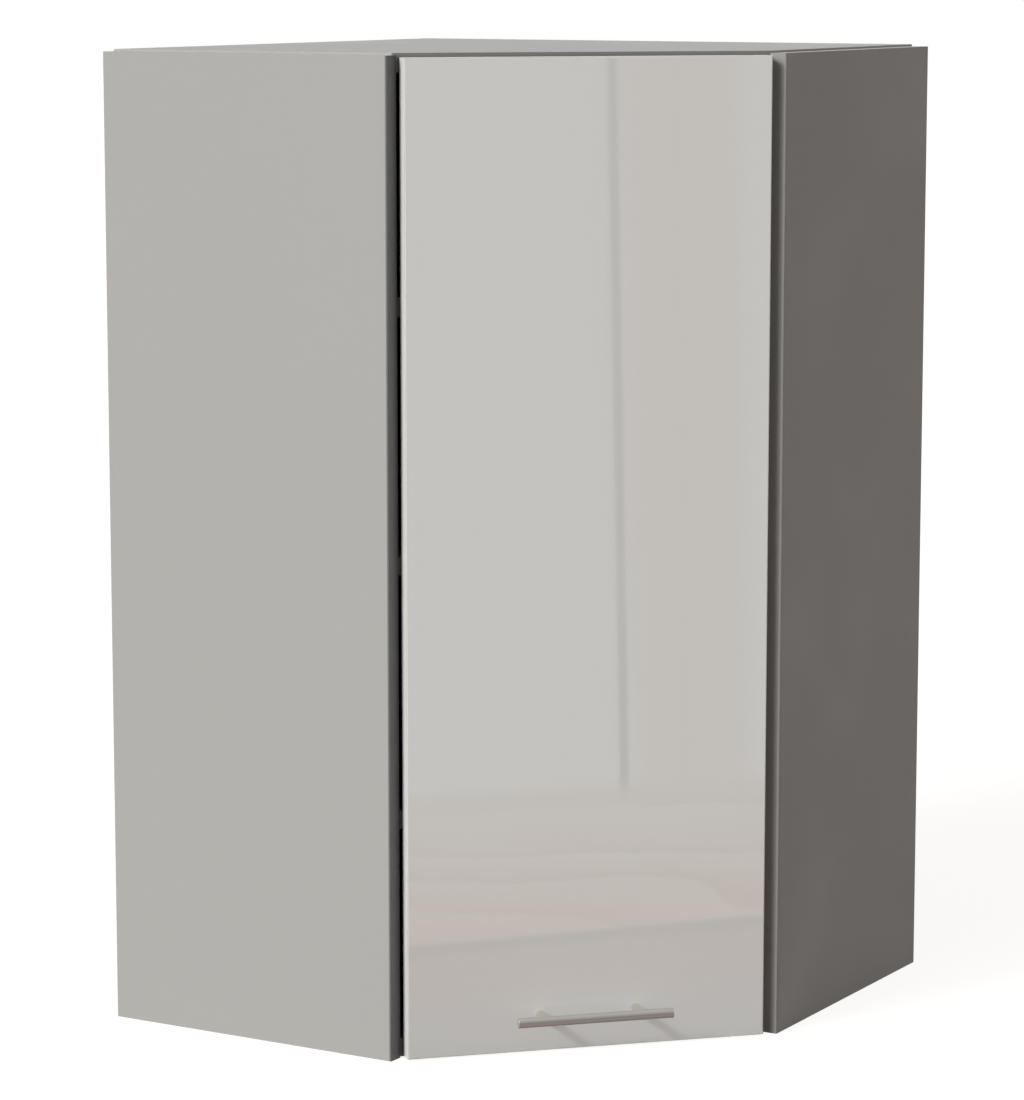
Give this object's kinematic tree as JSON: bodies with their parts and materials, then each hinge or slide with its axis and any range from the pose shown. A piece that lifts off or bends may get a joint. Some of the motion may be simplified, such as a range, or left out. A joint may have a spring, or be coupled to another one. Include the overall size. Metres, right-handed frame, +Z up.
{
  "type": "corner wall cabinet",
  "caption": "Kitchen wall cabinet for a room corner: five-sided carcase with shelves, adjustable wall hangers and a diagonal gloss door with a bar handle near its lower edge.",
  "frame": {"origin": "under the middle of the 600 mm square plan, at the level of the bottom board's underside", "axes": "+Z up; -X and +Y towards the two walls of the room corner; the door faces +X -Y at 45 degrees"},
  "size_m": [0.6, 0.6, 0.964],
  "materials": {
    "carcase_board": "pale grey melamine-faced particle board, satin",
    "edge_band": "satin",
    "hardboard": "hardboard, bare behind, painted like the boards inside",
    "bare_wood": "unfinished",
    "zinc": "die-cast, matt",
    "plated_steel": "nickel-plated, satin",
    "hanger_plastic": "moulded, matt",
    "door_gloss": "board with a high-gloss white front, satin edges and back",
    "handle_steel": "brushed satin steel",
    "clear_pad": "soft, frosted"
  },
  "bodies": {
    "carcase": {"left_side_panel": "carcase_board", "right_side_panel": "carcase_board", "left_side_edge_band": "edge_band", "right_side_edge_band": "edge_band", "top_board": "carcase_board", "bottom_board": "carcase_board", "top_edge_band": "edge_band", "bottom_edge_band": "edge_band", "lower_shelf": "carcase_board", "middle_shelf": "carcase_board", "upper_shelf": "carcase_board", "shelf_edge_bands": "edge_band", "lower_shelf_pins": "plated_steel", "middle_shelf_pins": "plated_steel", "upper_shelf_pins": "plated_steel", "left_back_panel": "hardboard", "right_back_panel": "hardboard", "rear_corner_post": "bare_wood", "post_screws": "plated_steel", "back_panel_screws": "plated_steel", "cam_bolts": "plated_steel", "cam_locks": "zinc", "wood_dowels": "bare_wood", "left_hanger_housing": "hanger_plastic", "right_hanger_housing": "hanger_plastic", "hanger_height_screws": "plated_steel", "hanger_fixing_screws": "plated_steel", "hanger_covers": "hanger_plastic", "hinge_plates": "plated_steel", "hinge_plate_screws": "plated_steel", "hinge_arms": "plated_steel", "hinge_arm_screws": "plated_steel"},
    "door": {"door_leaf": "door_gloss", "hinge_cups": "plated_steel", "hinge_pins": "plated_steel", "hinge_cup_screws": "plated_steel", "handle_bar": "handle_steel", "handle_posts": "handle_steel", "handle_screws": "plated_steel", "door_bumpers": "clear_pad"},
    "left_hanger_carriage": {"left_hanger_carriage": "plated_steel", "left_hanger_depth_screw": "plated_steel"},
    "left_hanger_hook": {"left_hanger_hook": "plated_steel"},
    "right_hanger_carriage": {"right_hanger_carriage": "plated_steel", "right_hanger_depth_screw": "plated_steel"},
    "right_hanger_hook": {"right_hanger_hook": "plated_steel"}
  },
  "joints": [
    {"name": "door_hinge", "type": "hinge", "parent": "carcase", "child": "door", "pos_m": [0.28233, -0.03795, 0], "axis": [0, 0, 1], "range_deg": [0, 95]},
    {"name": "left_hanger_height", "type": "slide", "parent": "carcase", "child": "left_hanger_carriage", "axis": [0, 0, 1], "range_m": [-0.006, 0.006]},
    {"name": "left_hanger_depth", "type": "slide", "parent": "left_hanger_carriage", "child": "left_hanger_hook", "axis": [1, 0, 0], "range_m": [-0.003, 0.005]},
    {"name": "right_hanger_height", "type": "slide", "parent": "carcase", "child": "right_hanger_carriage", "axis": [0, 0, 1], "range_m": [-0.006, 0.006]},
    {"name": "right_hanger_depth", "type": "slide", "parent": "right_hanger_carriage", "child": "right_hanger_hook", "axis": [0, -1, 0], "range_m": [-0.003, 0.005]}
  ]
}
